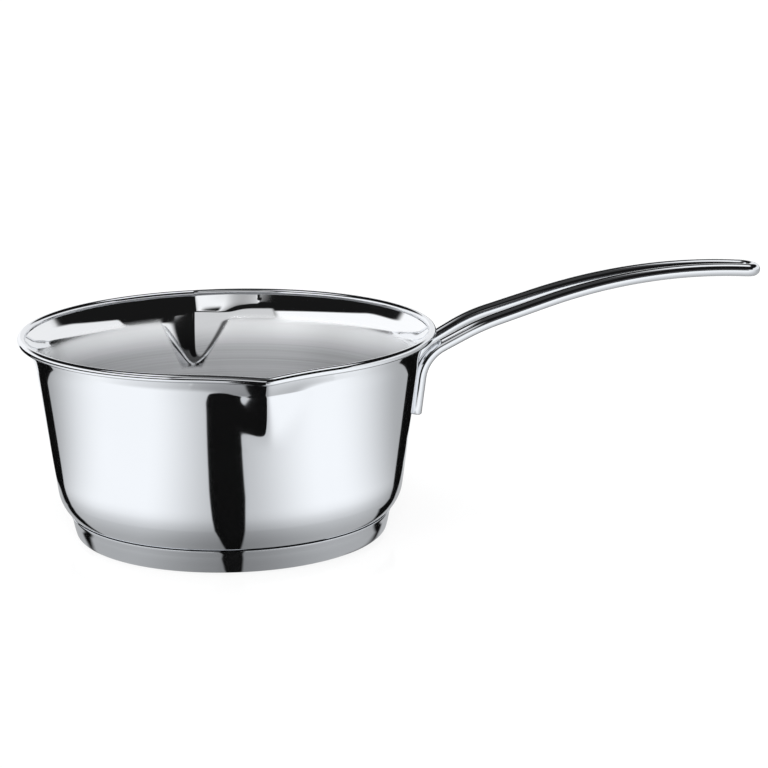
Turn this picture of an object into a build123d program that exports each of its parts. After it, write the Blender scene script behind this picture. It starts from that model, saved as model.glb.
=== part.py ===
from build123d import *
import math
import os

# A steel milk pan: a bowl with a rolled rim and two creased pouring spouts, a heat-spreading disc
# held under its floor by a pressed cap, and a handle bent from one round rod, whose two legs are
# welded to the wall. Millimetres, +Z up. The origin is the middle of the resting face, the handle
# runs along +X and the spouts point along -Y and +Y.

# Bowl
sheet = 0.8
shoulder_diameter = 161.0
flare_height = 8.1
wall_lean = 7.8
floor_corner_radius = 16.0
shoulder_blend_radius = 20.0

# Rolled rim
rim_diameter = 171.2
rim_height = 84.9
bead_diameter = 3.3
bead_bite = 0.7

# Pouring spouts
spout_reach = 4.7
spout_dip = 1.0
spout_depth = 31.4
spout_foot_run = 3.5
spout_shoulder_standoff = 5.6
spout_bulge_share = 0.3
spout_foot_half_width = 4.2
spout_foot_turn = 2.4
spout_shoulder_half_width = 16.6
spout_side_bite = 0.35
spout_root_depth = 20.0
spout_wall_shares = (0, 0.2, 0.45, 0.72)
spout_flare_shares = (0.5, 1)

# Sandwich base
disc_thickness = 5.4
cap_sheet = 0.8
cap_height = 10.0
cap_shoulder_drop = 2.4
cap_shoulder_inset = 0.9
cap_side_lean = 12.0
cap_edge_radius = 2.4
heel_groove_diameter = 104.0
heel_groove_width = 2.0
heel_groove_depth = 0.35

# Handle rod, by the corners that its bends round off
rod_diameter = 5.5
rod_end_chamfer = 0.4
leg_spacing = 13.0
leg_foot_drop = 38.7
root_drop = 13.6
root_bend_radius = 18.0
neck_run = 24.6
neck_drop = 1.2
neck_spacing = 18.4
neck_bend_radius = 70.0
arch_place_share = 0.583
arch_rise = 19.5
arch_spacing = 11.9
arch_bend_radius = 255.0
handle_reach = 236.4
tip_rise = 15.0
tip_spacing = 10.6
run_use_share = 0.99

# Welds between the legs and the wall
weld_gap = 0.12
weld_width = 3.4
weld_length = 13.0
weld_foot_margin = 1.5
weld_thickness = 1.2

# Shared working values
overrun = 2.0
spout_turns = (0, 180)
rim_radius = rim_diameter / 2
apex_radius = rim_radius + spout_reach
shoulder_radius = shoulder_diameter / 2
bead_radius = bead_diameter / 2
rod_radius = rod_diameter / 2
floor_height = cap_sheet + disc_thickness
shoulder_height = rim_height - flare_height
spout_foot_height = rim_height - spout_depth
wall_slope = math.tan(math.radians(wall_lean))
flare_slope = (rim_radius - shoulder_radius) / flare_height


def wall_radius(height):
    """Outer radius of the leaning wall, or of the flare above the shoulder, without their blend."""
    slope = wall_slope if height <= shoulder_height else flare_slope
    return shoulder_radius + (height - shoulder_height) * slope


def bowl_half_section(inset):
    """Half section of the round bowl's outer form, moved inwards by a sheet's thickness."""
    wall_shift = inset * math.hypot(1, wall_slope)
    flare_shift = inset * math.hypot(1, flare_slope)
    base = floor_height + inset
    top = rim_height + overrun
    corner = shoulder_height + (flare_shift - wall_shift) / (flare_slope - wall_slope)
    corner_radius = shoulder_radius + (corner - shoulder_height) * wall_slope - wall_shift
    heel_radius = wall_radius(base) - wall_shift
    outline = make_face(
        Polyline(
            (0, base),
            (heel_radius, base),
            (corner_radius, corner),
            (wall_radius(top) - flare_shift, top),
            (0, top),
            close=True,
        )
    )
    heel = outline.vertices().sort_by_distance((heel_radius, base))[0]
    outline = fillet(heel, floor_corner_radius - inset)
    shoulder = outline.vertices().sort_by_distance((corner_radius, corner))[0]
    return fillet(shoulder, shoulder_blend_radius + inset)


def round_bowl(inset):
    """Solid of revolution filled by the bowl, down to a surface that lies inset below its outside."""
    return revolve(Plane.XZ * bowl_half_section(inset), Axis.Z)


def spout_crease(height):
    """How far a spout's crease stands out from the round wall, and its flanks' half width there."""
    if height > shoulder_height:
        share = (height - shoulder_height) / flare_height
        rim_half_width = rim_radius * math.sin(math.acos(rim_radius / apex_radius))
        standoff = spout_shoulder_standoff + (spout_reach - spout_shoulder_standoff) * share
        half_width = spout_shoulder_half_width
        half_width += (rim_half_width - spout_shoulder_half_width) * share
    else:
        share = (height - spout_foot_height) / (shoulder_height - spout_foot_height)
        standoff = spout_shoulder_standoff * share * (1 + spout_bulge_share * (1 - share))
        half_width = spout_foot_half_width
        half_width += (spout_shoulder_half_width - spout_foot_half_width) * share
    return standoff, half_width


def spout_section(height, shift):
    """Plan outline of one spout at a height: two straight flanks that meet in a crease near +Y.

    The apex at the rim is on +Y, and the crease bears off by a small turn on its way to the foot.
    """
    standoff, half_width = spout_crease(height)
    wall = wall_radius(height)
    flank = math.sqrt(wall**2 - half_width**2) - spout_side_bite - shift
    root = wall - spout_root_depth
    points = [
        (0, wall + standoff - shift),
        (half_width, flank),
        (half_width, root),
        (-half_width, root),
        (-half_width, flank),
    ]
    turn = spout_foot_turn * (rim_height - height) / spout_depth
    return Plane.XY.offset(height) * Rot(0, 0, turn) * make_face(Polyline(*points, close=True))


def spout_wedge(inset):
    """Solid that pushes the bowl out into one spout along +Y, narrowing to a rounded foot."""
    lean = (apex_radius - wall_radius(spout_foot_height)) / spout_depth
    flank_turn = math.sqrt(apex_radius**2 - rim_radius**2) / rim_radius
    shift = inset * math.hypot(1, lean, flank_turn)
    wall_rise = shoulder_height - spout_foot_height
    heights = [spout_foot_height - spout_foot_run]
    heights += [spout_foot_height + wall_rise * share for share in spout_wall_shares]
    heights += [shoulder_height + flare_height * share for share in spout_flare_shares]
    return loft([spout_section(height, shift) for height in heights])


def spouted_bowl(inset):
    """The round form with both spouts, down to a surface that lies inset below the outside."""
    form = round_bowl(inset)
    wedge = spout_wedge(inset)
    for turn in spout_turns:
        form += Rot(0, 0, turn) * wedge
    return form


def plan_point(angle, radius, height):
    """Point at a plan angle in degrees, a distance out from the axis."""
    turn = math.radians(angle)
    return Vector(radius * math.cos(turn), radius * math.sin(turn), height)


def rim_path():
    """Centre line of the rolled edge: two round sides, and runs that dip a little to each apex."""
    half_angle = math.degrees(math.acos(rim_radius / apex_radius))
    edges = []
    for turn in spout_turns:
        side_start = turn - 90 + half_angle
        side_span = 180 - 2 * half_angle
        edges.append(CenterArc((0, 0, rim_height), rim_radius, side_start, side_span).edge())
        apex_angle = turn + 90
        apex = plan_point(apex_angle, apex_radius, rim_height - spout_dip)
        for hand in (-1, 1):
            angle = apex_angle + hand * half_angle
            start = plan_point(angle, rim_radius, rim_height)
            heading = plan_point(angle - hand * 90, 1, 0)
            edges.append(TangentArc(start, apex, tangent=heading).edge())
    return Wire(edges)


def rolled_rim():
    """The bowl's edge rolled into a round bead that follows the rim and turns at each spout."""
    path = rim_path()
    section = Plane(origin=path @ 0, z_dir=path % 0) * Circle(bead_radius)
    return sweep(section, path, transition=Transition.ROUND)


def make_bowl():
    """One drawn sheet: flat floor, leaning wall, flare, two creased spouts and the rolled rim."""
    shell = spouted_bowl(0) - spouted_bowl(sheet)
    above = Pos(0, 0, rim_height - bead_bite) * Cylinder(
        apex_radius + overrun, spout_depth, align=(Align.CENTER, Align.CENTER, Align.MIN)
    )
    return shell - above + rolled_rim()


def cap_lip_radius():
    """Outer radius of the cap's lip, which closes on the bowl's rounded floor corner."""
    centre = wall_radius(floor_height)
    centre += floor_corner_radius * (wall_slope - math.hypot(1, wall_slope))
    rise = floor_height + floor_corner_radius - cap_height
    return centre + math.sqrt(floor_corner_radius**2 - rise**2) + cap_sheet


def cap_form(inset, top):
    """Solid inside the cap's outer surface moved inwards by inset, filled up to a given height."""
    lip = cap_lip_radius() - inset
    shoulder = cap_height - cap_shoulder_drop
    shoulder_reach = lip - cap_shoulder_inset
    lip_slope = cap_shoulder_inset / cap_shoulder_drop
    foot = shoulder_reach - (shoulder - inset) * math.tan(math.radians(cap_side_lean))
    points = [(0, inset), (foot, inset), (shoulder_reach, shoulder)]
    if top > shoulder:
        points.append((shoulder_reach + (top - shoulder) * lip_slope, top))
    points.append((0, top))
    outline = make_face(Polyline(*points, close=True))
    edge = outline.vertices().sort_by_distance((foot, inset))[0]
    return revolve(Plane.XZ * fillet(edge, cap_edge_radius - inset), Axis.Z)


def make_disc():
    """Aluminium heat spreader, pressed between the cap and the bowl up to the cap's shoulder."""
    return cap_form(cap_sheet, cap_height - cap_shoulder_drop) - round_bowl(0)


def make_cap():
    """Pressed steel cup under the bowl, with a sloped lip, a leaning side and a heel groove."""
    cap = cap_form(0, cap_height) - cap_form(cap_sheet, cap_height) - round_bowl(0)
    groove_middle = heel_groove_diameter / 2
    groove = Cylinder(groove_middle + heel_groove_width / 2, heel_groove_depth * 2)
    groove -= Cylinder(groove_middle - heel_groove_width / 2, heel_groove_depth * 2)
    return cap - groove


def beside_wall(height, side, standoff):
    """Point that lies a standoff outside the wall, on the line down which one leg runs."""
    foot_radius = wall_radius(rim_height - leg_foot_drop)
    angle = math.degrees(math.asin(leg_spacing / 2 / foot_radius)) * side
    return plan_point(angle, wall_radius(height) + standoff * math.hypot(1, wall_slope), height)


def rod_corners(side):
    """Corners of one run of the rod's middle line, from the cut foot of its leg to the tip."""
    standoff = rod_radius + weld_gap
    foot = beside_wall(rim_height - leg_foot_drop, side, standoff)
    root = beside_wall(rim_height - root_drop, side, standoff)
    neck = Vector(root.X + neck_run, side * neck_spacing / 2, rim_height - neck_drop)
    tip = Vector(handle_reach - rod_radius, side * tip_spacing / 2, rim_height + tip_rise)
    arch_reach = neck.X + (tip.X - neck.X) * arch_place_share
    arch = Vector(arch_reach, side * arch_spacing / 2, rim_height + arch_rise)
    return [foot, root, neck, arch, tip]


def bend_radii(corners):
    """Radii from the root to the tip; each bend keeps to what the next one leaves of their run."""
    wanted = [tip_spacing, arch_bend_radius, neck_bend_radius, root_bend_radius]
    beyond = Vector(corners[-1].X, 0, corners[-1].Z)
    chain = corners + [beyond]
    room = tip_spacing / 2 * run_use_share
    radii = []
    for index, radius in zip(range(len(corners) - 1, 0, -1), wanted):
        before = chain[index] - chain[index - 1]
        after = chain[index + 1] - chain[index]
        half_turn = math.tan(math.radians(before.get_angle(after) / 2))
        radii.append(min(radius, room / half_turn))
        room = before.length * run_use_share - radii[-1] * half_turn
    return radii[::-1]


def make_handle():
    """One round rod bent into a long loop, its two cut ends lying down the wall below the rim."""
    near = rod_corners(-1)
    far = rod_corners(1)
    radii = bend_radii(near)
    path = FilletPolyline(*near, *far[::-1], radius=radii + radii[::-1])
    rod = sweep(Plane(origin=path @ 0, z_dir=path % 0) * Circle(rod_radius), path)
    ends = rod.faces().filter_by(GeomType.PLANE)
    return chamfer(ends.edges(), rod_end_chamfer)


def make_weld(side, rod):
    """Weld metal that fills the gap and the two grooves between one leg and the bowl's wall."""
    low_height = rim_height - leg_foot_drop + weld_foot_margin
    low = beside_wall(low_height, side, 0)
    along = beside_wall(low_height + weld_length, side, 0) - low
    seam = Plane(origin=low, x_dir=Vector(low.X, low.Y, 0), z_dir=along)
    bead = extrude(seam * Ellipse(weld_thickness, weld_width / 2), along.length)
    return bead - round_bowl(0) - rod


def make_pieces():
    """Every separate piece by its name."""
    rod = make_handle()
    return {
        "pan_bowl": make_bowl(),
        "heat_spreader_disc": make_disc(),
        "base_cap": make_cap(),
        "handle_rod": rod,
        "near_leg_weld": make_weld(-1, rod),
        "far_leg_weld": make_weld(1, rod),
    }


os.makedirs("parts", exist_ok=True)
for name, piece in make_pieces().items():
    export_step(piece, f"parts/{name}.step")
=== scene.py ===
import math

import bmesh
import bpy
from bpy.props import FloatProperty, FloatVectorProperty, IntProperty, PointerProperty
from mathutils import Matrix, Vector


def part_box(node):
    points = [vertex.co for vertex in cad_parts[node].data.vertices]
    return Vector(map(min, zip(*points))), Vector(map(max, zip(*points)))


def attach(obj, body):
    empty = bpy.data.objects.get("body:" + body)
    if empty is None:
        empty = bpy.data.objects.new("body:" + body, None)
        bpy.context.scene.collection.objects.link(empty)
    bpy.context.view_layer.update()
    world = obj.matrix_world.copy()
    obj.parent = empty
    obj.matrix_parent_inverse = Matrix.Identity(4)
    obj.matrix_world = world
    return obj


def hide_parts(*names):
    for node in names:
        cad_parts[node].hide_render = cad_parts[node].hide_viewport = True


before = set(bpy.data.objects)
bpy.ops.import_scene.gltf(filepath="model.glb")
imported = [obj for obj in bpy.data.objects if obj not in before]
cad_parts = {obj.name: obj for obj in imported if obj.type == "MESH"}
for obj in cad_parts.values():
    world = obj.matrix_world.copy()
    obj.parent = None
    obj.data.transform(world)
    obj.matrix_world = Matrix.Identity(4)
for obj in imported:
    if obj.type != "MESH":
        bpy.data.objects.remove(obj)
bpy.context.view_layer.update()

# A steel milk pan with two pouring spouts, a rolled rim, a capped base and a looped rod handle.
# Metres, +Z up, the handle along +X and the spouts along -Y and +Y, as in the frame.

bl_info = {
    "name": "Milk Pan",
    "version": (1, 0, 0),
    "blender": (4, 5, 0),
    "location": "3D View > Sidebar > Milk Pan",
    "description": "Builds a polished steel milk pan with a looped rod handle, and its studio",
    "category": "Add Mesh",
}

BOWL_LOW, BOWL_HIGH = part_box("pan_bowl")
_, CAP_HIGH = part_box("base_cap")
_, ROD_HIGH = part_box("handle_rod")
BEAD = 0.00165  # radius of the rolled rim
ROD = 0.00275  # radius of the handle's rod


# Sizes and colours that a user would change


def length(name, description, default):
    """A property that holds a length in metres."""
    return FloatProperty(
        name=name, description=description, default=default, unit="LENGTH", precision=5
    )


def number(name, description, default):
    """A property that holds a plain number."""
    return FloatProperty(name=name, description=description, default=default)


def angle(name, description, default):
    """A property that holds an angle, given here in degrees."""
    return FloatProperty(
        name=name, description=description, default=math.radians(default), subtype="ANGLE"
    )


def share(name, description, default):
    """A property that holds a share from 0 to 1."""
    return FloatProperty(
        name=name, description=description, default=default, min=0, max=1, subtype="FACTOR"
    )


def colour(name, description, default):
    """A property that holds a colour."""
    return FloatVectorProperty(
        name=name, description=description, default=default, size=3, min=0, max=1, subtype="COLOR"
    )


class BowlSizes(bpy.types.PropertyGroup):
    sheet: length("Sheet", "Thickness of the bowl's sheet", 0.0008)
    shoulder_radius: length("Shoulder radius", "Outer radius of the wall under the flare", 0.0805)
    flare_height: length("Flare height", "Height of the flare between shoulder and rim", 0.0081)
    lean: angle("Wall lean", "How far the wall leans out from upright", 7.8)
    corner: length("Floor corner", "Radius of the bowl's floor corner", 0.016)
    shoulder_blend: length("Shoulder blend", "Radius of the fold between wall and flare", 0.02)
    spout_depth: length("Spout depth", "Depth of a spout's foot below the rim", 0.0314)
    spout_dip: length("Spout dip", "How far the rim falls to a spout's apex", 0.001)
    shoulder_standoff: length("Crease standoff", "Reach of the crease at the shoulder", 0.0049)
    bulge: share("Crease bulge", "How much the crease bows out between foot and shoulder", 0.3)
    foot_half_width: length("Foot half width", "Half width of a spout's foot", 0.0042)
    foot_turn: angle("Foot turn", "How far the crease bears off on its way to the foot", 2.4)
    shoulder_half_width: length("Spout half width", "Half width of a spout at the shoulder", 0.0166)
    side_bite: length("Side bite", "How far a flank's edge sinks in the round wall", 0.00035)
    crease_round: length("Crease rounding", "Softness of the crease at the rim", 0.0004)
    foot_round: length("Foot rounding", "Softness of the crease at its foot", 0.0025)
    flank_blend: length("Flank blend", "Softness of the edge between flank and wall", 0.001)
    rim_bend: length("Rim bend", "Bend radius of the rolled rim at a spout's apex", 0.005)


class BaseSizes(bpy.types.PropertyGroup):
    sheet: length("Cap sheet", "Thickness of the cap's sheet", 0.0008)
    shoulder_drop: length("Lip height", "Height of the sloped lip", 0.0024)
    shoulder_inset: length("Lip slope", "How far the lip leans out", 0.0009)
    lean: angle("Side lean", "How far the cap's side leans out", 12.0)
    crown: length("Side crown", "How far the side bows out", 0.00012)
    edge: length("Edge radius", "Radius of the cap's lower edge", 0.0024)
    groove_radius: length("Groove radius", "Radius of the ring groove underneath", 0.052)
    groove_width: length("Groove width", "Width of the ring groove", 0.002)
    groove_depth: length("Groove depth", "Depth of the ring groove", 0.00035)


class RodSizes(bpy.types.PropertyGroup):
    leg_spacing: length("Leg spacing", "Distance between the two legs", 0.013)
    foot_drop: length("Foot drop", "Depth of the legs' cut ends below the rim", 0.0387)
    root_drop: length("Root drop", "Depth of the root's corner below the rim", 0.0136)
    root_bend: length("Root bend", "Bend radius at the root", 0.018)
    neck_run: length("Neck run", "Run from the root's corner to the neck's", 0.0246)
    neck_drop: length("Neck drop", "Depth of the neck's corner below the rim", 0.0012)
    neck_spacing: length("Neck spacing", "Distance between the runs at the neck", 0.0184)
    neck_bend: length("Neck bend", "Bend radius at the neck", 0.07)
    arch_place: share("Arch place", "Place of the arch's corner between neck and tip", 0.583)
    arch_rise: length("Arch rise", "Height of the arch's corner above the rim", 0.01947)
    arch_spacing: length("Arch spacing", "Distance between the runs at the arch", 0.0119)
    arch_bend: length("Arch bend", "Bend radius of the arch", 0.255)
    tip_rise: length("Tip rise", "Height of the tip's corner above the rim", 0.015)
    tip_spacing: length("Tip spacing", "Distance between the runs at the tip", 0.0106)
    end_round: length("End rounding", "Rounding of the rod's cut ends", 0.0004)
    weld_gap: length("Weld gap", "Gap between leg and wall, filled by the weld", 0.00012)
    weld_length: length("Weld length", "Length of the weld along a leg", 0.013)
    weld_margin: length("Weld margin", "Distance of the weld from the leg's cut end", 0.0015)
    weld_pitch: length("Ripple pitch", "Distance between two ripples of the weld", 0.0007)
    weld_radius: length("Ripple radius", "Radius of a ripple of the weld", 0.0007)
    weld_standoff: length("Weld standoff", "Distance of the ripples from the wall", 0.00055)
    weld_spread: length("Weld spread", "Distance of the ripples from the leg's middle", 0.001)
    weld_seed: IntProperty(name="Ripple seed", description="Seed of their unevenness", default=3)


class SteelLook(bpy.types.PropertyGroup):
    steel: colour("Steel", "Colour of the polished steel", (0.845, 0.862, 0.89))
    inner_steel: colour("Inner steel", "Colour of the spun steel inside", (0.93, 0.94, 0.955))
    aluminium: colour("Aluminium", "Colour of the disc", (0.77, 0.775, 0.78))
    weld_tint: colour("Weld", "Colour of the cleaned weld metal", (0.62, 0.6, 0.57))
    polish: share("Polish roughness", "Roughness of the outer wall", 0.045)
    spun: share("Spun roughness", "Added roughness of the inner wall", 0.2)
    satin: share("Cap roughness", "Roughness of the cap", 0.06)


class StudioSizes(bpy.types.PropertyGroup):
    half_width: length("Floor", "Half width of the floor", 8.0)
    camera_distance: length("Camera distance", "Distance from the pan's middle", 1.03056)
    camera_azimuth: angle("Camera azimuth", "Where the camera stands round the pan", -9.58)
    camera_elevation: angle("Camera elevation", "How high the camera stands", 14.58)
    camera_aim: length("Aim height", "Height on the axis that those angles are seen from", 0.04)
    heading: angle("Heading", "Compass direction of the view, from +Y to +X", 13.33)
    pitch: angle("Pitch", "How far the view looks down", 13.42)
    roll: angle("Roll", "Turn of the camera about its view", -0.49)
    lens: number("Lens", "Focal length in millimetres", 114.02)
    card_light: number("Card light", "Brightness of the white cards", 1.12)
    top_light: number("Top light", "Strength of the soft light from above", 2.4)
    front_light: number("Front light", "Strength of the soft light from in front", 2.6)


# Shader and geometry trees


class Value:
    """A number that a tree works out; sums on it add the Math nodes that they need."""

    def __init__(self, graph, socket):
        self.graph = graph
        self.socket = socket

    def __add__(self, other):
        return self.graph.math("ADD", self, other)

    def __radd__(self, other):
        return self.graph.math("ADD", other, self)

    def __sub__(self, other):
        return self.graph.math("SUBTRACT", self, other)

    def __rsub__(self, other):
        return self.graph.math("SUBTRACT", other, self)

    def __mul__(self, other):
        return self.graph.math("MULTIPLY", self, other)

    def __neg__(self):
        return self.graph.math("MULTIPLY", self, -1.0)


class Graph:
    """Adds nodes to a tree, with one method for every kind of node."""

    def __init__(self, tree):
        self.tree = tree
        tree.nodes.clear()

    def node(self, kind, inputs=None, **settings):
        """A node of a kind, with the values or links of its sockets, and its settings."""
        made = self.tree.nodes.new(kind)
        for name, setting in settings.items():
            setattr(made, name, setting)
        for key, value in (inputs or {}).items():
            socket = made.inputs[key]
            if isinstance(value, Value):
                self.tree.links.new(value.socket, socket)
            elif isinstance(value, bpy.types.NodeSocket):
                self.tree.links.new(value, socket)
            else:
                socket.default_value = value
        return made

    def math(self, operation, *values):
        """A Math node's result."""
        made = self.node("ShaderNodeMath", dict(enumerate(values)), operation=operation)
        return Value(self, made.outputs[0])

    def largest(self, *values):
        """The largest of some numbers."""
        result = values[0]
        for value in values[1:]:
            result = self.math("MAXIMUM", result, value)
        return result

    def fade(self, value, low, high, at_low=0.0, at_high=1.0, kind="SMOOTHSTEP"):
        """A number that goes smoothly from at_low to at_high as value goes from low to high."""
        inputs = {0: value, 1: low, 2: high, 3: at_low, 4: at_high}
        made = self.node("ShaderNodeMapRange", inputs, interpolation_type=kind)
        return Value(self, made.outputs[0])

    def ramp(self, value, low, high, at_low, at_high):
        """As fade, but straight."""
        return self.fade(value, low, high, at_low, at_high, "LINEAR")

    def window(self, value, start, full, full_end, end, beyond=0.0):
        """1 where value lies between full and full_end, with a smooth fade on both sides."""
        return self.fade(value, start, full) * self.fade(value, full_end, end, 1.0, beyond)

    def split(self, vector):
        """The three numbers of a vector."""
        made = self.node("ShaderNodeSeparateXYZ", {0: vector})
        return [Value(self, output) for output in made.outputs[:3]]

    def join(self, *numbers):
        """A vector made of three numbers."""
        return self.node("ShaderNodeCombineXYZ", dict(enumerate(numbers))).outputs[0]

    def mix(self, factor, first, second):
        """A colour between two colours."""
        inputs = {0: factor, 6: first, 7: second}
        return self.node("ShaderNodeMix", inputs, data_type="RGBA").outputs[2]

    def blend(self, factor, first, second):
        """A shader between two shaders."""
        return self.node("ShaderNodeMixShader", {0: factor, 1: first, 2: second}).outputs[0]

    def noise(self, vector, scale, detail=2.0):
        """A smooth random number from 0 to 1 at each place."""
        inputs = {"Vector": vector, "Scale": scale, "Detail": detail}
        return Value(self, self.node("ShaderNodeTexNoise", inputs).outputs[0])


def rgb(values, scale=1.0):
    """A colour with its alpha, as a socket wants it."""
    return tuple(value * scale for value in values) + (1.0,)


# Shape helpers


def smooth_max(first, second, softness):
    """The larger of two numbers, rounded off where they come within softness of each other."""
    mix = min(1.0, max(0.0, 0.5 + 0.5 * (second - first) / softness))
    return first * (1 - mix) + second * mix + softness * mix * (1 - mix)


def spread(start, end, count):
    """Evenly spaced numbers from start to end, both included."""
    return [start + (end - start) * step / (count - 1) for step in range(count)]


def place_object(name, data):
    """A new object at the origin, in the scene."""
    made = bpy.data.objects.new(name, data)
    bpy.context.scene.collection.objects.link(made)
    return made


def finish_mesh(name, mesh, materials, sharp_angle):
    """An object of a mesh with smooth faces, sharp only at edges over an angle."""
    for material in materials:
        mesh.materials.append(material)
    mesh.polygons.foreach_set("use_smooth", [True] * len(mesh.polygons))
    mesh.set_sharp_from_angle(angle=math.radians(sharp_angle))
    mesh.update()
    return place_object(name, mesh)


def lathe(name, rows, turns, place, material_of_row, materials, sharp_angle=30):
    """A closed skin over rows of (radius, height), each turned through all angles.

    place gives the point of a row at an angle. The first and last row lie on the axis.
    """
    mesh = bpy.data.meshes.new(name)
    build = bmesh.new()
    rings = []
    for row in rows:
        if row[0] == 0:
            rings.append([build.verts.new(place(row, turns[0]))] * len(turns))
        else:
            rings.append([build.verts.new(place(row, turn)) for turn in turns])
    for index in range(len(rings) - 1):
        lower, upper = rings[index], rings[index + 1]
        for side in range(len(turns)):
            beside = (side + 1) % len(turns)
            corners = [lower[side], lower[beside], upper[beside], upper[side]]
            corners = list(dict.fromkeys(corners))
            face = build.faces.new(corners)
            face.material_index = material_of_row(index)
    bmesh.ops.recalc_face_normals(build, faces=build.faces)
    build.to_mesh(mesh)
    build.free()
    return finish_mesh(name, mesh, materials, sharp_angle)


def swept_tube(name, points, closed, radius, sides, material, end_round):
    """A round tube along a path, made by a small tree of geometry nodes."""
    mesh = bpy.data.meshes.new(name + "_path")
    edges = [(index, index + 1) for index in range(len(points) - 1)]
    if closed:
        edges.append((len(points) - 1, 0))
    mesh.from_pydata([tuple(point) for point in points], edges, [])
    path = place_object(name + "_path", mesh)
    values = {"Radius": radius, "Sides": sides, "End Round": end_round, "Material": material}
    return bake_nodes(name, path, tube_tree(), values, [material], 35)


def bake_nodes(name, source, tree, values, materials, sharp_angle):
    """A plain object with the mesh that a geometry tree makes of an object; the source goes."""
    modifier = source.modifiers.new(tree.name, "NODES")
    modifier.node_group = tree
    for item in tree.interface.items_tree:
        if item.in_out == "INPUT" and item.name in values:
            modifier[item.identifier] = values[item.name]
    depsgraph = bpy.context.evaluated_depsgraph_get()
    mesh = bpy.data.meshes.new_from_object(source.evaluated_get(depsgraph))
    mesh.name = name
    mesh.materials.clear()
    bpy.data.objects.remove(source, do_unlink=True)
    return finish_mesh(name, mesh, materials, sharp_angle)


def start_tree(name, inputs):
    """The graph of a new geometry tree with its named inputs, and their sockets."""
    tree = bpy.data.node_groups.new(name, "GeometryNodeTree")
    tree.interface.new_socket("Geometry", in_out="INPUT", socket_type="NodeSocketGeometry")
    for label, kind in inputs.items():
        tree.interface.new_socket(label, in_out="INPUT", socket_type="NodeSocket" + kind)
    tree.interface.new_socket("Geometry", in_out="OUTPUT", socket_type="NodeSocketGeometry")
    g = Graph(tree)
    return g, g.node("NodeGroupInput").outputs


def tube_tree():
    """Tree that turns a path of edges into a round tube, with its cut ends rounded a little."""
    known = bpy.data.node_groups.get("Tube Along Path")
    if known:
        return known
    inputs = {"Radius": "Float", "Sides": "Int", "End Round": "Float", "Material": "Material"}
    g, given = start_tree("Tube Along Path", inputs)
    curve = g.node("GeometryNodeMeshToCurve", {0: given["Geometry"]}).outputs[0]
    along = Value(g, g.node("GeometryNodeSplineParameter").outputs["Length"])
    whole = Value(g, g.node("GeometryNodeSplineLength").outputs["Length"])
    from_end = g.math("MINIMUM", along, whole - along)
    inset = g.largest(Value(g, given["End Round"]) - from_end, 0.0)
    scale = Value(g, given["Radius"]) - inset
    profile = g.node("GeometryNodeCurvePrimitiveCircle", {0: given["Sides"]}).outputs[0]
    inputs = {"Curve": curve, "Profile Curve": profile, "Scale": scale, "Fill Caps": True}
    tube = g.node("GeometryNodeCurveToMesh", inputs).outputs[0]
    return end_tree(g, tube, given["Material"])


def end_tree(g, geometry, material):
    """Ends a geometry tree: real geometry, in its material."""
    real = g.node("GeometryNodeRealizeInstances", {0: geometry}).outputs[0]
    dressed = g.node("GeometryNodeSetMaterial", {"Geometry": real, "Material": material})
    g.node("NodeGroupOutput", {0: dressed.outputs[0]})
    return g.tree


# Bowl


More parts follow.
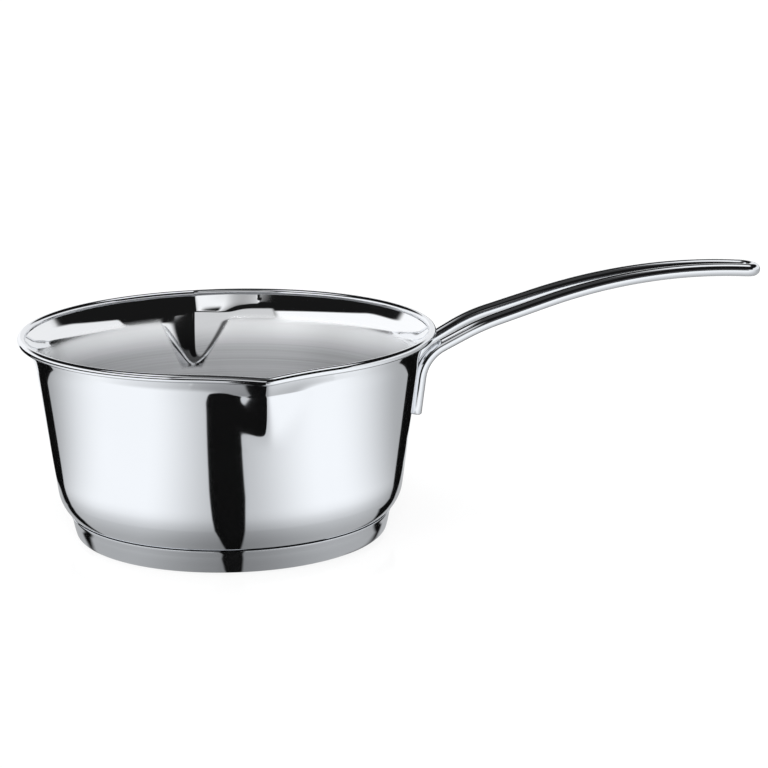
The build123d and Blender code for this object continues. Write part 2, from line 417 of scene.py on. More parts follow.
class BowlForm:
    """The bowl's surfaces as a rule: a radius for each height and turn, on either face."""

    BELOW_FOOT = 0.001  # where the close rows of the spouts start
    BELOW_FOLD = 0.004  # where the closest rows of the fold start
    BELOW_BEAD = 0.0006  # where the sheet ends, inside the bead
    LEAST_FALL = 0.12  # slope of the flattest flank

    def __init__(self, sizes):
        self.s = sizes
        self.floor = BOWL_LOW.z
        self.rim_height = BOWL_HIGH.z - BEAD
        self.rim_radius = BOWL_HIGH.x - BEAD
        self.apex_radius = BOWL_HIGH.y - BEAD
        self.shoulder = self.rim_height - sizes.flare_height
        self.slope = math.tan(sizes.lean)
        self.flare_slope = (self.rim_radius - sizes.shoulder_radius) / sizes.flare_height
        self.half_angle = math.acos(self.rim_radius / self.apex_radius)
        self.foot = self.rim_height - sizes.spout_depth
        self.run = self.rim_radius * math.tan(self.half_angle)
        lean = (self.apex_radius - self.wall(self.foot)) / sizes.spout_depth
        self.spout_thickness = math.hypot(1, lean, self.run / self.rim_radius)

    def wall(self, height):
        """Outer radius of the wall or the flare, without their blend."""
        slope = self.slope if height <= self.shoulder else self.flare_slope
        return self.s.shoulder_radius + (height - self.shoulder) * slope

    def round_radius(self, height, inset):
        """Radius of the round surface, with its fold, that lies inset within the outside."""
        wall_turn = math.atan(self.slope)
        flare_turn = math.atan(self.flare_slope)
        wall_shift = inset / math.cos(wall_turn)
        flare_shift = inset / math.cos(flare_turn)
        corner = (flare_shift - wall_shift) / (self.flare_slope - self.slope)
        above = height - self.shoulder - corner
        radius = self.s.shoulder_radius + corner * self.slope - wall_shift
        blend = self.s.shoulder_blend + inset
        reach = blend * math.tan((flare_turn - wall_turn) / 2)
        if above < -reach * math.cos(wall_turn):
            return radius + above * self.slope
        if above > reach * math.cos(flare_turn):
            return radius + above * self.flare_slope
        centre_out = blend * math.cos(wall_turn) - reach * math.sin(wall_turn)
        centre_up = -blend * math.sin(wall_turn) - reach * math.cos(wall_turn)
        return radius + centre_out - math.sqrt(blend**2 - (above - centre_up) ** 2)

    def crease(self, height):
        """Standoff of the crease at a height, and half the spout's width there."""
        s = self.s
        if height > self.shoulder:
            up = (height - self.shoulder) / s.flare_height
            rim_half_width = self.rim_radius * math.sin(self.half_angle)
            standoff = s.shoulder_standoff
            standoff += (self.apex_radius - self.rim_radius - standoff) * up
            return standoff, s.shoulder_half_width + (rim_half_width - s.shoulder_half_width) * up
        up = (height - self.foot) / (self.shoulder - self.foot)
        standoff = s.shoulder_standoff * up * (1 + s.bulge * (1 - up))
        half_width = s.foot_half_width + (s.shoulder_half_width - s.foot_half_width) * up
        return standoff, max(half_width, s.foot_half_width / 2)

    def off_spout(self, turn):
        """Angle between a turn about the axis and the nearer spout's apex."""
        return abs(math.remainder(turn - math.pi / 2, math.pi))

    def radius(self, height, turn, inset):
        """Radius of the surface with its spouts, at a height and a turn about the axis."""
        plain = self.round_radius(height, inset)
        standoff, half_width = self.crease(height)
        wall = self.wall(height)
        shift = inset * self.spout_thickness
        crease = wall + standoff - shift
        flank = math.sqrt(wall**2 - half_width**2) - self.s.side_bite - shift
        fall = max((crease - flank) / half_width, self.LEAST_FALL)
        low = (self.rim_height - height) / self.s.spout_depth
        away = self.off_spout(turn - self.s.foot_turn * low)
        far_below_foot = standoff < -self.s.shoulder_standoff / 2
        if away > math.atan(fall) or far_below_foot:
            return plain
        soft = (self.s.crease_round + (self.s.foot_round - self.s.crease_round) * low) / wall
        sideways = math.sqrt(math.sin(away) ** 2 + soft**2)
        pushed = crease / (math.cos(away) + fall * sideways)
        return smooth_max(plain, pushed, self.s.flank_blend)

    def dip(self, turn):
        """How far the rim falls at a turn about the axis."""
        away = self.off_spout(turn)
        if away >= self.half_angle:
            return 0.0
        along = self.rim_radius * math.tan(self.half_angle - away)
        return self.s.spout_dip * (along / self.run) ** 2

    def place(self, row, turn):
        """Point of a row (radius, height, inset) at a turn about the axis."""
        radius, height, inset = row
        if radius is None:
            radius = self.radius(height, turn, inset)
            up = max(0.0, (height - self.shoulder) / self.s.flare_height)
            height -= self.dip(turn) * up
        return Vector((radius * math.cos(turn), radius * math.sin(turn), height))

    def rows(self, inset):
        """Rows of one face from the axis to the rim; those of the wall leave their radius open."""
        corner = self.s.corner
        floor = self.floor + inset
        arc_radius = corner - inset
        centre_height = self.floor + corner
        centre_radius = self.wall(self.floor)
        centre_radius += corner * (self.slope - math.hypot(1, self.slope))
        rows = [(0, floor, inset)]
        rows += [(radius, floor, inset) for radius in spread(centre_radius / 6, centre_radius, 6)]
        sweep = math.pi / 2 - self.s.lean
        for part in spread(0, 1, 14)[1:]:
            swing = sweep * part
            radius = centre_radius + arc_radius * math.sin(swing)
            height = centre_height - arc_radius * math.cos(swing)
            rows.append((radius, height, inset))
        low = self.foot - self.BELOW_FOOT
        fold = self.shoulder - self.BELOW_FOLD
        heights = spread(rows[-1][1], low, 8)[1:] + spread(low, fold, 30)[1:]
        heights += spread(fold, self.rim_height - self.BELOW_BEAD, 26)[1:]
        return rows + [(None, height, inset) for height in heights]

    def turns(self):
        """Turns about the axis, close together near the creases and wide apart elsewhere."""
        crease, spout, end = (math.radians(part) for part in (3, 21, 90))
        quarter = spread(0, crease, 15)
        quarter += spread(crease, spout, 40)[1:]
        quarter += spread(spout, end, 54)[1:]
        half = [math.pi / 2 + away for away in quarter[:-1]]
        half += [math.pi * 3 / 2 - away for away in quarter[:0:-1]]
        return half + [turn + math.pi for turn in half]

    def rim_path(self):
        """Points of the rolled edge's middle line, with a small bend at each spout's apex."""
        bend = self.s.rim_bend
        cut = bend * math.tan(self.half_angle)
        points = []
        for turn in spread(0, 2 * math.pi, 721)[:-1]:
            away = self.off_spout(turn)
            radius = self.rim_radius
            if away < self.half_angle:
                radius = self.rim_radius / math.cos(self.half_angle - away)
                side = radius * math.sin(away)
                if side < cut:
                    sink = cut**2 - side**2
                    radius -= sink / (2 * bend) / math.cos(away)
            height = self.rim_height - self.dip(turn)
            points.append(Vector((radius * math.cos(turn), radius * math.sin(turn), height)))
        return points


class MILKPAN_OT_bowl(bpy.types.Operator):
    """Build the bowl: one sheet with a flat floor, a leaning wall, a flare and two spouts"""

    bl_idname = "milkpan.bowl"
    bl_label = "Bowl"

    def execute(self, context):
        sizes = context.scene.milkpan_bowl
        form = BowlForm(sizes)
        outer = form.rows(0)
        inner = form.rows(sizes.sheet)
        rows = outer + inner[::-1]
        materials = [
            polished_steel("Bowl outside", context.scene.milkpan_look),
            spun_steel("Bowl inside", context.scene.milkpan_look),
        ]
        edge = len(outer)
        turns = form.turns()
        bowl = lathe("bowl", rows, turns, form.place, lambda row: int(row >= edge), materials)
        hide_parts("pan_bowl")
        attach(bowl, "root")
        return {"FINISHED"}


class MILKPAN_OT_rim(bpy.types.Operator):
    """Roll the bowl's edge into a round bead that follows the rim and both spouts"""

    bl_idname = "milkpan.rim"
    bl_label = "Rolled rim"

    def execute(self, context):
        form = BowlForm(context.scene.milkpan_bowl)
        steel = polished_steel("Rolled rim", context.scene.milkpan_look)
        rim = swept_tube("rolled_rim", form.rim_path(), True, BEAD, 28, steel, 0.0)
        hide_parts("pan_bowl")
        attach(rim, "root")
        return {"FINISHED"}


# Base


def cap_rows(sizes):
    """Rows of the pressed cap, from the axis underneath, over the lip and back inside."""
    top = CAP_HIGH.z
    lip = CAP_HIGH.x
    shoulder = top - sizes.shoulder_drop
    reach = lip - sizes.shoulder_inset
    slope = math.tan(sizes.lean)
    foot = reach - shoulder * slope
    edge = sizes.edge
    groove = sizes.groove_radius
    half = sizes.groove_width / 2
    soft = half * 0.35
    rows = [(0, 0), (groove * 0.5, 0), (groove - half - soft, 0), (groove - half, 0)]
    rows += [(groove - half + soft, sizes.groove_depth), (groove + half - soft, sizes.groove_depth)]
    rows += [(groove + half, 0), (groove + half + soft, 0)]
    turn = math.pi / 2 - sizes.lean
    centre = foot - edge * math.tan(turn / 2)
    rows += [
        (centre + edge * math.sin(turn * part), edge - edge * math.cos(turn * part))
        for part in spread(0, 1, 9)
    ]
    start = rows[-1]
    for part in spread(0, 1, 8)[1:]:
        radius = start[0] + (reach - start[0]) * part + sizes.crown * math.sin(math.pi * part)
        rows.append((radius, start[1] + (shoulder - start[1]) * part))
    # The lip's edge is rounded; behind it the cap turns down to its inside, out of sight.
    sheet = sizes.sheet
    soft = sheet * 0.35
    rows += [(lip - sizes.shoulder_inset * 0.5, top - sizes.shoulder_drop * 0.5)]
    rows += [(lip - soft * 0.4, top - soft * 1.1), (lip - soft * 0.55, top - soft * 0.3)]
    rows += [(lip - soft * 1.3, top), (lip - sheet * 0.8, top - soft * 0.4)]
    rows += [(lip - sheet * 1.5, top - sheet * 0.875), (lip - sheet * 5, shoulder - sheet * 0.75)]
    return rows + [(groove, sheet), (0, sheet)]


class MILKPAN_OT_base(bpy.types.Operator):
    """Build the pressed cap under the bowl and dress the disc that it holds"""

    bl_idname = "milkpan.base"
    bl_label = "Base cap and disc"

    def execute(self, context):
        scene = context.scene
        rows = cap_rows(scene.milkpan_base)
        turns = spread(0, 2 * math.pi, 361)[:-1]
        steel = satin_steel("Base cap", scene.milkpan_look)

        def place(row, turn):
            return Vector((row[0] * math.cos(turn), row[0] * math.sin(turn), row[1]))

        cap = lathe("base_cap_shell", rows, turns, place, lambda row: 0, [steel], 40)
        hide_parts("base_cap")
        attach(cap, "root")
        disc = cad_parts["heat_spreader_disc"]
        disc.data.materials.clear()
        disc.data.materials.append(pressed_aluminium("Heat spreader", scene.milkpan_look))
        return {"FINISHED"}


# Handle


class RodForm:
    """The rod's middle line: straight runs rounded off by bends, on both sides of the handle."""

    END_STEPS = (0, 0.0001, 0.0002, 0.0003, 0.0005, 0.004)  # places near a rounded cut end

    def __init__(self, sizes, bowl):
        self.s = sizes
        self.bowl = bowl

    def beside_wall(self, height, side, standoff):
        """Point a standoff outside the wall, on the line down which one leg runs."""
        bowl = self.bowl
        foot_radius = bowl.wall(bowl.rim_height - self.s.foot_drop)
        turn = math.asin(self.s.leg_spacing / 2 / foot_radius) * side
        radius = bowl.wall(height) + standoff * math.hypot(1, bowl.slope)
        return Vector((radius * math.cos(turn), radius * math.sin(turn), height))

    def corners(self, side):
        """Corners of one run, from the leg's cut end to the tip."""
        s = self.s
        rim = self.bowl.rim_height
        standoff = ROD + s.weld_gap
        foot = self.beside_wall(rim - s.foot_drop, side, standoff)
        root = self.beside_wall(rim - s.root_drop, side, standoff)
        neck = Vector((root.x + s.neck_run, side * s.neck_spacing / 2, rim - s.neck_drop))
        tip = Vector((ROD_HIGH.x - ROD, side * s.tip_spacing / 2, rim + s.tip_rise))
        reach = neck.x + (tip.x - neck.x) * s.arch_place
        arch = Vector((reach, side * s.arch_spacing / 2, rim + s.arch_rise))
        return [foot, root, neck, arch, tip]

    def path(self):
        """Points along the whole rod, with each corner rounded off by an arc."""
        near = self.corners(-1)
        corners = near + self.corners(1)[::-1]
        bends = [0, self.s.root_bend, self.s.neck_bend, self.s.arch_bend, self.s.tip_spacing]
        bends += bends[::-1]
        points = self.run_in(corners[0], corners[1])
        for index in range(1, len(corners) - 1):
            points += round_corner(corners, index, bends[index])
        return points + self.run_in(corners[-1], corners[-2])[::-1]

    def run_in(self, end, beyond):
        """Points close together at a cut end, where the tube is rounded."""
        along = (beyond - end).normalized()
        return [end + along * step for step in self.END_STEPS]


TIP_CORNERS = (4, 5)  # the two corners at the tip, which share a short run
SHORT_RUN = 0.02
SHORT_RUN_SHARE = 0.49
LONG_RUN_SHARE = 0.89
ARC_STEP = 0.0012


def round_corner(corners, index, radius):
    """Points of the arc that rounds off one corner of a path, cut down to the room it has."""
    back = corners[index - 1] - corners[index]
    ahead = corners[index + 1] - corners[index]
    half_turn = math.tan((math.pi - back.angle(ahead)) / 2)
    reach = radius * half_turn
    room = min(back.length, ahead.length)
    if radius > 0.9 * room or index in TIP_CORNERS:
        reach = min(reach, room * (SHORT_RUN_SHARE if room < SHORT_RUN else LONG_RUN_SHARE))
        radius = reach / half_turn
    inward = (back.normalized() + ahead.normalized()).normalized()
    centre = corners[index] + inward * math.hypot(reach, radius)
    start = corners[index] + back.normalized() * reach - centre
    end = corners[index] + ahead.normalized() * reach - centre
    sweep = start.angle(end)
    count = max(8, int(sweep * radius / ARC_STEP))
    axis = start.cross(end).normalized()
    return [centre + Matrix.Rotation(sweep * part, 3, axis) @ start for part in spread(0, 1, count)]


class MILKPAN_OT_handle(bpy.types.Operator):
    """Bend one round rod into the long loop of the handle"""

    bl_idname = "milkpan.handle"
    bl_label = "Rod handle"

    def execute(self, context):
        scene = context.scene
        form = RodForm(scene.milkpan_rod, BowlForm(scene.milkpan_bowl))
        steel = polished_steel("Handle rod", scene.milkpan_look)
        rod = swept_tube("handle_loop", form.path(), False, ROD, 40, steel, form.s.end_round)
        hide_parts("handle_rod")
        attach(rod, "root")
        return {"FINISHED"}


# Welds


def ripple_tree():
    """Tree that lays small uneven ripples of weld metal along a straight seam."""
    known = bpy.data.node_groups.get("Weld Ripples")
    if known:
        return known
    inputs = {"Count": "Int", "Start": "Vector", "Step": "Vector"}
    inputs.update({"Ripple Radius": "Float", "Seed": "Int", "Material": "Material"})
    g, given = start_tree("Weld Ripples", inputs)
    line = g.node(
        "GeometryNodeMeshLine",
        {"Count": given["Count"], "Start Location": given["Start"], "Offset": given["Step"]},
        mode="OFFSET",
    ).outputs[0]
    inputs = {"Segments": 14, "Rings": 8, "Radius": given["Ripple Radius"]}
    ball = g.node("GeometryNodeMeshUVSphere", inputs).outputs[0]
    inputs = {2: 0.92, 3: 1.06, "Seed": given["Seed"]}
    size = g.node("FunctionNodeRandomValue", inputs, data_type="FLOAT").outputs[1]
    inputs = {"Points": line, "Instance": ball, "Scale": size}
    laid = g.node("GeometryNodeInstanceOnPoints", inputs).outputs[0]
    return end_tree(g, laid, given["Material"])


def weld_seam(name, form, side, look):
    """One leg's weld: a row of ripples in each groove between the rod and the wall."""
    sizes = form.s
    low = form.bowl.rim_height - sizes.foot_drop + sizes.weld_margin
    high = low + sizes.weld_length
    material = weld_metal("Weld metal", look)
    halves = []
    count = int(sizes.weld_length / sizes.weld_pitch)
    start = form.beside_wall(low, side, sizes.weld_standoff)
    end = form.beside_wall(high, side, sizes.weld_standoff)
    for hand in (-1, 1):
        across = Vector((-start.y, start.x, 0)).normalized() * sizes.weld_spread * hand
        source = place_object(name, bpy.data.meshes.new(name))
        values = {
            "Count": count,
            "Start": start + across,
            "Step": (end - start) / (count - 1),
            "Ripple Radius": sizes.weld_radius,
            "Seed": sizes.weld_seed + hand,
            "Material": material,
        }
        groove = f"{name}_groove"
        halves.append(bake_nodes(groove, source, ripple_tree(), values, [material], 60))
    build = bmesh.new()
    for half in halves:
        build.from_mesh(half.data)
        bpy.data.objects.remove(half, do_unlink=True)
    mesh = bpy.data.meshes.new(name)
    build.to_mesh(mesh)
    build.free()
    return finish_mesh(name, mesh, [material], 60)


class MILKPAN_OT_welds(bpy.types.Operator):
    """Lay the welds that hold the rod's two legs to the wall"""

    bl_idname = "milkpan.welds"
    bl_label = "Leg welds"

    def execute(self, context):
        scene = context.scene
        form = RodForm(scene.milkpan_rod, BowlForm(scene.milkpan_bowl))
        for name, side in (("near_leg_weld", -1), ("far_leg_weld", 1)):
            weld = weld_seam(name + "_ripples", form, side, scene.milkpan_look)
            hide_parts(name)
            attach(weld, "root")
        return {"FINISHED"}


# Finishes


def new_material(name):
    """A new material with its graph and the place on the piece, in metres."""
    material = bpy.data.materials.new(name)
    material.use_nodes = True
    g = Graph(material.node_tree)
    place = g.node("ShaderNodeTexCoord").outputs["Object"]
    return material, g, place


def metal(material, g, base, roughness, bump=None, depth=0.00001, strength=0.3, metallic=1.0):
    """Ends a material in a metal shader."""
    inputs = {"Base Color": base, "Metallic": metallic, "Roughness": roughness}
    if bump is not None:
        uneven = {"Strength": strength, "Distance": depth, "Height": bump}
        inputs["Normal"] = g.node("ShaderNodeBump", uneven).outputs[0]
    shader = g.node("ShaderNodeBsdfPrincipled", inputs)
    g.node("ShaderNodeOutputMaterial", {0: shader.outputs[0]})
    return material


def polished_steel(name, look):
    """Mirror polish with faint hairlines and a slight haze that comes and goes."""
    material, g, place = new_material(name)
    haze = g.noise(place, 18.0, 3.0)
    hairs = g.noise(place, 900.0, 2.0)
    roughness = look.polish + haze * 0.02 + hairs * 0.012
    tone = g.fade(haze, 0.3, 0.7)
    base = g.mix(tone, rgb(look.steel, 0.985), rgb(look.steel))
    return metal(material, g, base, roughness)


def spun_steel(name, look):
    """Fine rings left by spinning, on a satin wall whose colour darkens downwards as painted shade.

    The flare and the spouts' flanks are polished like the outside.
    """
    material, g, place = new_material(name)
    x, y, z = g.split(place)
    reach = g.math("SQRT", x * x + y * y)
    along = (reach + z) * 1000.0
    rings = g.noise(g.join(along * 2.2, x * 6.0, y * 6.0), 1.0, 3.0)
    haze = g.noise(place, 14.0, 2.0)
    from_crease = g.math("ABSOLUTE", x * g.math("SIGN", y) + (BOWL_HIGH.z - z) * 0.11)
    beside_spout = g.fade(from_crease - (z - 0.0535) * 0.53, 0.0036, 0.0056)
    below_spout = g.fade(z, 0.052, 0.054, 1.0, 0.0)
    below_flare = g.fade(z, 0.0725, 0.0765, 1.0, 0.0)
    satin = below_flare * g.largest(beside_spout, below_spout)
    roughness = look.polish + satin * (look.spun + (rings - 0.5) * 0.06 + (haze - 0.5) * 0.04)
    # Painted shade: the colour goes from the inner steel high up to a dark steel (0.42 of the
    # steel) low on the inner wall.
    tone = g.mix(g.fade(z, 0.059, 0.072), rgb(look.steel, 0.42), rgb(look.inner_steel))
    base = g.mix(rings * 0.5, tone, rgb(look.inner_steel, 0.9))
    metallic = 1.0 - satin * 0.45
    return metal(material, g, base, roughness, rings, 0.000001, 0.2, metallic)


def satin_steel(name, look):
    """Steel with a soft polish on its side and turned rings underneath."""
    material, g, place = new_material(name)
    x, y, z = g.split(place)
    reach = g.math("SQRT", x * x + y * y)
    rings = g.noise(g.join((reach + z) * 1600.0, x * 3.0, y * 3.0), 1.0, 2.0)
    under = g.fade(z, 0.0, 0.0008, 1.0, 0.0)
    roughness = look.satin + rings * 0.04 + under * 0.2
    base = g.mix(rings, rgb(look.steel, 0.98), rgb(look.steel, 1.04))
    return metal(material, g, base, roughness, rings, 0.000003, 0.3)


def pressed_aluminium(name, look):
    """Dull rolled aluminium."""
    material, g, place = new_material(name)
    grain = g.noise(place, 1500.0, 3.0)
    base = g.mix(grain, rgb(look.aluminium, 0.9), rgb(look.aluminium))
    return metal(material, g, base, 0.35 + grain * 0.15, grain, 0.00001, 0.4)


def weld_metal(name, look):
    """Cleaned weld metal, a little warmer and duller than the rod, with a pitted skin."""
    material, g, place = new_material(name)
    pits = g.noise(place, 2600.0, 3.0)
    patches = g.noise(place, 260.0, 2.0)
    base = g.mix(patches, rgb(look.weld_tint), rgb(look.steel, 0.9))
    return metal(material, g, base, 0.22 + pits * 0.2, pits, 0.00002, 0.5)


# Studio


BLACK = 0.003  # brightness of the gaps between the cards
DIM = 0.008  # brightness of the studio where no card stands


def degrees(value):
    """An angle that a graph works out, in degrees."""
    return value * math.degrees(1)


def floor_cards(g, place, light):
    """Brightness of the floor as reflections see it: white cards with black gaps between them.

    Lengths are in millimetres from the pan's axis: x towards the handle, near towards the
    camera. A bearing is 0 in front and grows towards the handle.
    """
    x, y, _ = g.split(place)
    x = x * 1000.0
    near = y * -1000.0
    reach = g.math("SQRT", x * x + near * near)
    bearing = degrees(g.math("ARCTAN2", x, near))

    # The left and the right card, each brightest to its side and dimmer close to the pan
    left = g.fade(-bearing, 10.0, 52.0, 0.52, 0.98) * g.fade(-bearing, 75.0, 140.0, 1.0, 0.36)
    right = g.fade(bearing, -12.0, 36.0, 0.5, 0.98) * g.fade(bearing, 44.0, 104.0, 1.0, 0.42)
    on_left = g.fade(bearing, -16.0, -14.0, 1.0, 0.0)
    card = left * on_left + right * (1.0 - on_left)
    card = card * (g.ramp(reach, 72.0, 98.0, 0.41, 0.56) + g.fade(reach, 94.0, 120.0, 0.0, 0.44))
    card = card * g.largest(g.fade(reach, 250.0, 290.0, 1.0, 0.0), g.fade(x, 60.0, 100.0))

    # The black gap between them, which bulges to the left on its way out
    bulge = g.window(near, 78.0, 132.0, 150.0, 250.0) * 4.0
    gap_left = g.fade(x + 18.0 + (near - 71.0) * 0.443 + bulge, 0.0, 1.6)
    gap_right = g.fade(-6.5 - x - g.largest(near - 130.0, 0.0) * 0.12, 0.0, 1.6)
    gap = gap_left * gap_right * g.fade(near, 0.0, 20.0)

    # The black floor behind each card, beyond an edge that runs out from the pan
    far_left = (x + 103.0) * 1.49 - 51.0 + g.fade(x, -106.0, -94.0, 0.0, 22.0)
    left_edge = g.math("MINIMUM", far_left, (x + 80.0) * 0.9 + 6.0)
    behind_left = g.fade(left_edge - near, -2.0, 3.0) * g.fade(x, -60.0, -50.0, 1.0, 0.0)
    far_right = (108.0 - x) * 0.82 + g.largest(108.0 - x, 0.0) * 0.33 + 1.0
    beside_base = g.largest(62.0 - x, 0.0) * 0.8 + 34.0
    right_edge = g.math("MINIMUM", far_right, beside_base)
    behind_right = g.fade(right_edge - near, -2.0, 3.0) * g.fade(x, 36.0, 42.0)

    # The third card, behind the pan, between a left and a right edge
    from_left = g.largest(near + 32.0, 0.0) * 0.52 - g.largest(-90.0 - near, 0.0) * 0.4 - 89.0
    from_left = from_left + g.fade(near, -130.0, -60.0, 34.0, 0.0)
    to_right = g.largest(-50.0 - near, 0.0) * 0.4 - (near + 6.0) * 0.35 + 97.0
    to_right = g.math("MINIMUM", to_right - g.fade(near, -90.0, -50.0, 13.0, 0.0), 134.0)
    to_right = to_right - g.largest(near + 6.0, 0.0) * 0.65
    back = g.fade(x - from_left, -2.0, 2.0) * g.fade(to_right - x, -2.0, 2.0)
    back = back * g.fade(x * 0.25 + 33.0 - near, -5.0, 5.0)
    third = back * g.fade(reach, 90.0, 190.0, 0.42, 0.85)

    dark = g.largest(gap, g.largest(behind_left, behind_right) * (1.0 - back))
    return (card * (1.0 - dark) * (1.0 - back) + third + dark * BLACK) * light


def ceiling_cards(g, direction, light):
    """Brightness of the studio above the floor, by bearing and height in degrees.

    Low cards stand all round, it is dark over them, and light hangs overhead to both sides.
    """
    x, y, z = g.split(direction)
    bearing = degrees(g.math("ARCTAN2", x, y * -1.0))
    height = degrees(g.math("ARCSINE", z))

    # The left and the right card, with top edges that rise and fall
    left_top = g.fade(-bearing, 110.0, 140.0, 30.0, 20.0)
    left = g.fade(left_top - height, -1.5, 1.5) * g.fade(-bearing, 38.0, 44.0) * 0.95
    right_top = g.fade(bearing, 54.0, 66.0, 9.0, 24.5) - g.fade(bearing, 100.0, 125.0, 0.0, 4.0)
    right = g.fade(right_top - height, -1.5, 1.5) * g.fade(bearing, 28.0, 34.0) * 0.82

    # In front, a grey card, a faint strip and a high panel that dims to the right
    grey = g.window(bearing, -42.0, -39.0, -6.0, 2.0) * g.window(height, 10.0, 14.0, 34.0, 38.0)
    strip = g.window(bearing, -40.0, -34.0, 34.0, 40.0) * g.window(height, 7.0, 9.0, 17.0, 19.0)
    panel = g.fade(bearing, -46.0, -43.0) * g.ramp(bearing, -42.0, -29.0, 0.9, 0.36)
    panel = panel * g.fade(bearing, -28.5, -26.0, 1.0, 0.0)
    panel = panel * g.window(height, 51.0, 53.0, 59.0, 62.0)
    front = g.largest(grey * 0.6, strip * 0.1, panel)

    # Two cards behind the pan, with a dimmer gap between them
    behind = g.window(bearing, 113.0, 119.0, 150.0, 156.0, 0.45)
    behind = behind + g.window(-bearing, 139.0, 145.0, 168.0, 174.0, 0.45)
    behind = behind * g.fade(height, 20.0, 24.0, 1.0, 0.0) * 0.75

    # Light overhead, which comes lower and brighter to both sides
    off_side = g.math("ABSOLUTE", g.math("ABSOLUTE", bearing - 5.0) - 100.0)
    aside = g.fade(off_side, 24.0, 50.0, 1.0, 0.0) * g.fade(height, 70.0, 78.0, 1.0, 0.0)
    overhead = g.fade(height + aside * 11.0, 60.0, 66.0) * (aside * 0.9 + 0.045)

    return g.largest(left, right, front, behind, overhead, DIM) * light


def light_path(g, name):
    """1 for one kind of ray, 0 for the others."""
    return Value(g, g.node("ShaderNodeLightPath").outputs[name])


def build_world(scene, studio):
    """White to the camera; to everything else, the cards and the dark parts of the studio."""
    world = bpy.data.worlds.new("Studio")
    world.use_nodes = True
    g = Graph(world.node_tree)
    direction = g.node("ShaderNodeTexCoord").outputs["Generated"]
    strength = ceiling_cards(g, direction, studio.card_light)
    cards = g.node("ShaderNodeBackground", {0: rgb((0.985, 0.99, 1.0)), 1: strength})
    white = g.node("ShaderNodeBackground", {0: rgb((1, 1, 1)), 1: 1.0})
    seen = light_path(g, "Is Camera Ray")
    mixed = g.blend(seen, cards.outputs[0], white.outputs[0])
    g.node("ShaderNodeOutputWorld", {0: mixed})
    scene.world = world


def build_floor(studio):
    """A plain pale floor that keeps the pan's soft shadow and shows a trace of its reflection."""
    mesh = bpy.data.meshes.new("studio_floor")
    half = studio.half_width
    corners = [(-half, -half, 0), (half, -half, 0), (half, half, 0), (-half, half, 0)]
    mesh.from_pydata(corners, [], [(0, 1, 2, 3)])
    floor = place_object("studio_floor", mesh)
    material, g, place = new_material("Pale floor")
    matte = g.node("ShaderNodeBsdfDiffuse", {"Color": rgb((0.93, 0.93, 0.93))}).outputs[0]
    own_light = {"Color": rgb((1, 1, 1)), "Strength": 1.03}
    pale = g.blend(0.8, matte, g.node("ShaderNodeEmission", own_light).outputs[0])
    gloss = g.node("ShaderNodeBsdfGlossy", {"Color": rgb((1, 1, 1)), "Roughness": 0.02})
    glossy = g.blend(0.04, pale, gloss.outputs[0])
    strength = floor_cards(g, place, studio.card_light)
    tinted = {"Color": rgb((0.97, 0.985, 1.0)), "Strength": strength}
    cards = g.node("ShaderNodeEmission", tinted).outputs[0]
    mirrored = g.largest(light_path(g, "Is Glossy Ray"), light_path(g, "Is Transmission Ray"))
    mixed = g.blend(mirrored, glossy, cards)
    g.node("ShaderNodeOutputMaterial", {0: mixed})
    mesh.materials.append(material)


def build_camera(scene, studio):
    """The camera at the photograph's place, with its angle of view."""
    out = studio.camera_distance * math.cos(studio.camera_elevation)
    up = studio.camera_distance * math.sin(studio.camera_elevation)
    data = bpy.data.cameras.new("Camera")
    data.lens = studio.lens
    data.sensor_width = 36.0
    data.clip_start = 0.01
    data.clip_end = 50.0
    camera = place_object("Camera", data)
    turn = Matrix.Rotation(-studio.heading, 4, "Z")
    tilt = Matrix.Rotation(math.pi / 2 - studio.pitch, 4, "X")
    roll = Matrix.Rotation(studio.roll, 4, "Z")
    place = Vector((
        math.sin(studio.camera_azimuth) * out,
        -math.cos(studio.camera_azimuth) * out,
        studio.camera_aim + up,
    ))
    camera.matrix_world = Matrix.Translation(place) @ turn @ tilt @ roll
    scene.camera = camera


def build_lamp(name, strength, breadth, tilt):
    """A soft light from afar that stays out of the reflections; its angles are in degrees."""
    data = bpy.data.lights.new(name, "SUN")
    data.energy = strength
    data.angle = math.radians(breadth)
    lamp = place_object(name, data)
    lamp.rotation_euler = [math.radians(part) for part in tilt]
    lamp.visible_glossy = False


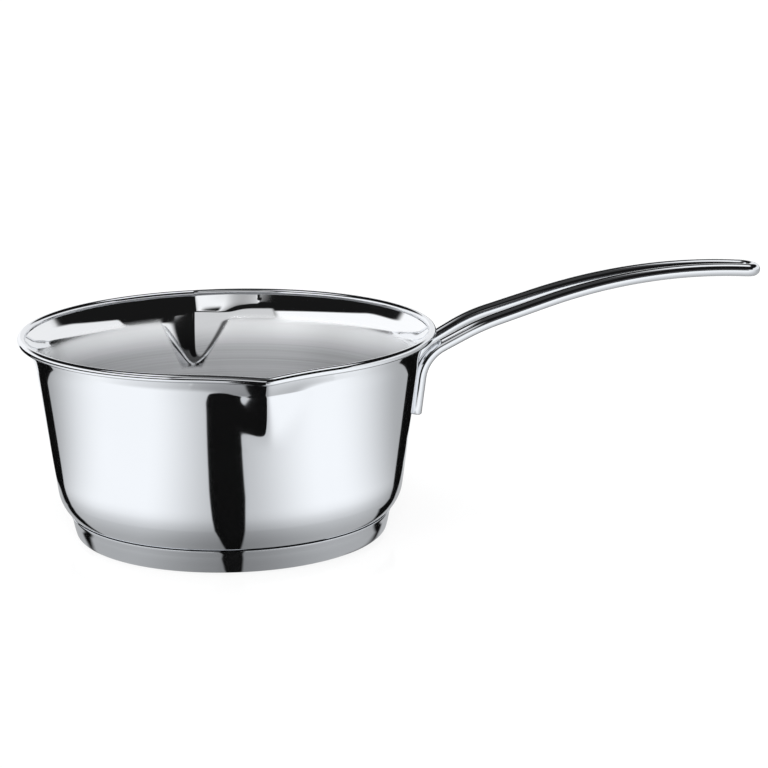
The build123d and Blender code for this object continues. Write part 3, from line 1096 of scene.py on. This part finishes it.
class MILKPAN_OT_stage(bpy.types.Operator):
    """Build the pale floor, the soft lights, the studio's surroundings and the camera"""

    bl_idname = "milkpan.stage"
    bl_label = "Studio"

    def execute(self, context):
        scene = context.scene
        studio = scene.milkpan_studio
        build_world(scene, studio)
        build_floor(studio)
        build_lamp("Top light", studio.top_light, breadth=70, tilt=(12, -8, 0))
        build_lamp("Front light", studio.front_light, breadth=26, tilt=(70, 0, -8))
        build_camera(scene, studio)
        scene.view_settings.view_transform = "Standard"
        return {"FINISHED"}


# Add-on


OPERATORS = (
    MILKPAN_OT_bowl,
    MILKPAN_OT_rim,
    MILKPAN_OT_base,
    MILKPAN_OT_handle,
    MILKPAN_OT_welds,
    MILKPAN_OT_stage,
)

GROUPS = {
    "milkpan_bowl": BowlSizes,
    "milkpan_base": BaseSizes,
    "milkpan_rod": RodSizes,
    "milkpan_look": SteelLook,
    "milkpan_studio": StudioSizes,
}


class MILKPAN_PT_panel(bpy.types.Panel):
    """Lists the pan's pieces and their sizes"""

    bl_idname = "MILKPAN_PT_panel"
    bl_label = "Milk Pan"
    bl_space_type = "VIEW_3D"
    bl_region_type = "UI"
    bl_category = "Milk Pan"

    def draw(self, context):
        layout = self.layout
        for operator in OPERATORS:
            layout.operator(operator.bl_idname)
        for name, group in GROUPS.items():
            box = layout.box()
            for setting in group.__annotations__:
                box.prop(getattr(context.scene, name), setting)


def register():
    for group in GROUPS.values():
        bpy.utils.register_class(group)
    for name, group in GROUPS.items():
        setattr(bpy.types.Scene, name, PointerProperty(type=group))
    for operator in OPERATORS:
        bpy.utils.register_class(operator)
    bpy.utils.register_class(MILKPAN_PT_panel)


def unregister():
    bpy.utils.unregister_class(MILKPAN_PT_panel)
    for operator in reversed(OPERATORS):
        bpy.utils.unregister_class(operator)
    for name in GROUPS:
        delattr(bpy.types.Scene, name)
    for group in GROUPS.values():
        bpy.utils.unregister_class(group)


def main():
    register()
    bpy.ops.milkpan.bowl()
    bpy.ops.milkpan.rim()
    bpy.ops.milkpan.base()
    bpy.ops.milkpan.handle()
    bpy.ops.milkpan.welds()
    bpy.ops.milkpan.stage()


if __name__ == "__main__":
    main()
